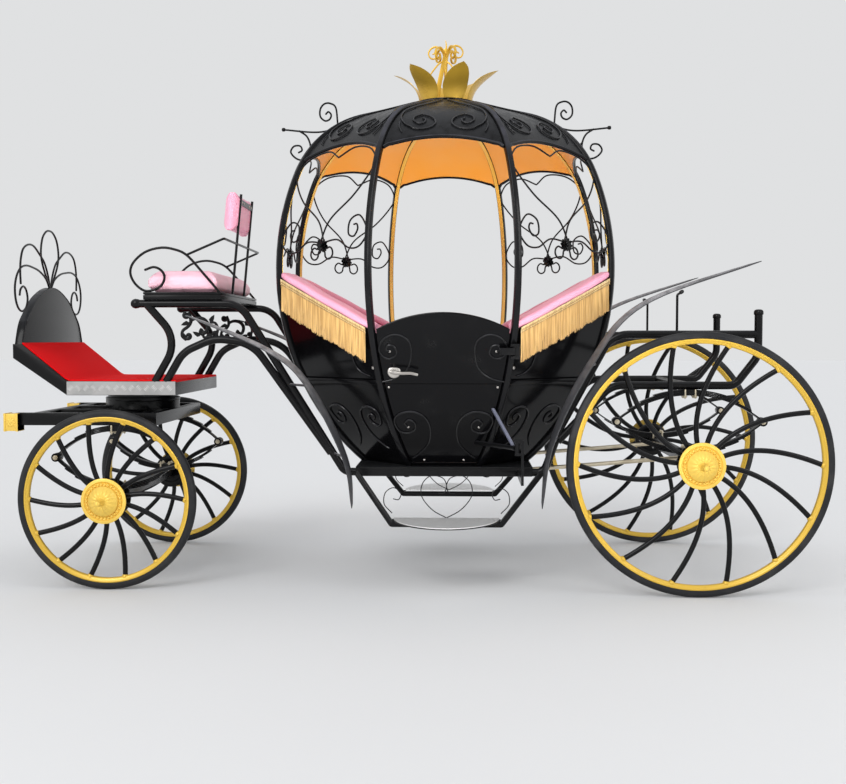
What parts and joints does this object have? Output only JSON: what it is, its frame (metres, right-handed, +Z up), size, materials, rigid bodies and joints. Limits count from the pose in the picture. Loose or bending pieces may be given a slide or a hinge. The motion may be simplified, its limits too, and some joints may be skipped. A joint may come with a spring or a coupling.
{
  "type": "horse-drawn carriage",
  "caption": "Round ribbed passenger carriage with facing seats, side doors, a raised driver's seat, a turning front axle and tall spoked wheels.",
  "frame": {"origin": "middle of the overall length and width, on the ground", "axes": "+X to the rear, -Y the left side, +Z up"},
  "size_m": [3.93, 1.746, 2.6895],
  "materials": {
    "black_paint": "glossy enamel",
    "gold_paint": "satin gold paint",
    "tyre_rubber": "matt solid rubber",
    "red_carpet": "short cut pile",
    "pink_leather": "soft leathercloth",
    "gold_fringe": "bullion fringe",
    "tread_plate": "bright patterned plate",
    "satin_chrome": "satin"
  },
  "bodies": {
    "coach": {"back_cushion_front": "pink_leather", "back_cushion_rear": "pink_leather", "back_rest": "pink_leather", "base_frame": "black_paint", "cabin_floor": "black_paint", "cabin_ribs": "black_paint", "carpet": "red_carpet", "crown": "gold_paint", "dash": "black_paint", "driver_cushion": "pink_leather", "driver_seat_frame": "black_paint", "footboard": "black_paint", "footboard_edging": "tread_plate", "fringes": "gold_fringe", "front_frames": "black_paint", "hinge_mounts": "black_paint", "lamp_arms": "black_paint", "lower_panels": "black_paint", "mudguards": "black_paint", "radius_rods": "black_paint", "rear_axle": "black_paint", "rear_frame": "black_paint", "rear_springs": "black_paint", "roof_gores": "black_paint", "seat_boxes": "black_paint", "seat_cushion_front": "pink_leather", "seat_cushion_rear": "pink_leather", "step_hangers": "black_paint", "step_treads": "tread_plate", "top_rolls": "pink_leather", "upper_panels": "black_paint", "upper_turntable": "black_paint", "window_scrolls": "black_paint"},
    "fore_carriage": {"turning_subframe": "black_paint", "beam_caps": "gold_paint", "front_springs": "black_paint", "front_axle": "black_paint"},
    "wheel_front_left": {"tyre_front_left": "tyre_rubber", "rim_front_left": "gold_paint", "spokes_front_left": "black_paint"},
    "wheel_front_right": {"tyre_front_right": "tyre_rubber", "rim_front_right": "gold_paint", "spokes_front_right": "black_paint"},
    "wheel_rear_left": {"tyre_rear_left": "tyre_rubber", "rim_rear_left": "gold_paint", "spokes_rear_left": "black_paint"},
    "wheel_rear_right": {"tyre_rear_right": "tyre_rubber", "rim_rear_right": "gold_paint", "spokes_rear_right": "black_paint"},
    "side_door_left": {"door_left": "black_paint", "door_handle_left": "satin_chrome"},
    "side_door_right": {"door_right": "black_paint", "door_handle_right": "satin_chrome"}
  },
  "joints": [
    {"name": "front_steering", "type": "hinge", "parent": "coach", "child": "fore_carriage", "pos_m": [-1.398, 0, 0.866], "axis": [0, 0, 1], "range_deg": [-50, 50]},
    {"name": "wheel_spin_front_left", "type": "hinge", "parent": "fore_carriage", "child": "wheel_front_left", "pos_m": [-1.398, -0.635, 0.425], "axis": [0, 1, 0], "continuous": true},
    {"name": "wheel_spin_front_right", "type": "hinge", "parent": "fore_carriage", "child": "wheel_front_right", "pos_m": [-1.398, 0.635, 0.425], "axis": [0, 1, 0], "continuous": true},
    {"name": "wheel_spin_rear_left", "type": "hinge", "parent": "coach", "child": "wheel_rear_left", "pos_m": [1.357, -0.715, 0.608], "axis": [0, 1, 0], "continuous": true},
    {"name": "wheel_spin_rear_right", "type": "hinge", "parent": "coach", "child": "wheel_rear_right", "pos_m": [1.357, 0.715, 0.608], "axis": [0, 1, 0], "continuous": true},
    {"name": "side_door_hinge_left", "type": "hinge", "parent": "coach", "child": "side_door_left", "pos_m": [0.52198, -0.79999, 1.125], "axis": [0, 0, 1], "range_deg": [0, 90]},
    {"name": "side_door_hinge_right", "type": "hinge", "parent": "coach", "child": "side_door_right", "pos_m": [0.52198, 0.79999, 1.125], "axis": [0, 0, -1], "range_deg": [0, 90]}
  ]
}
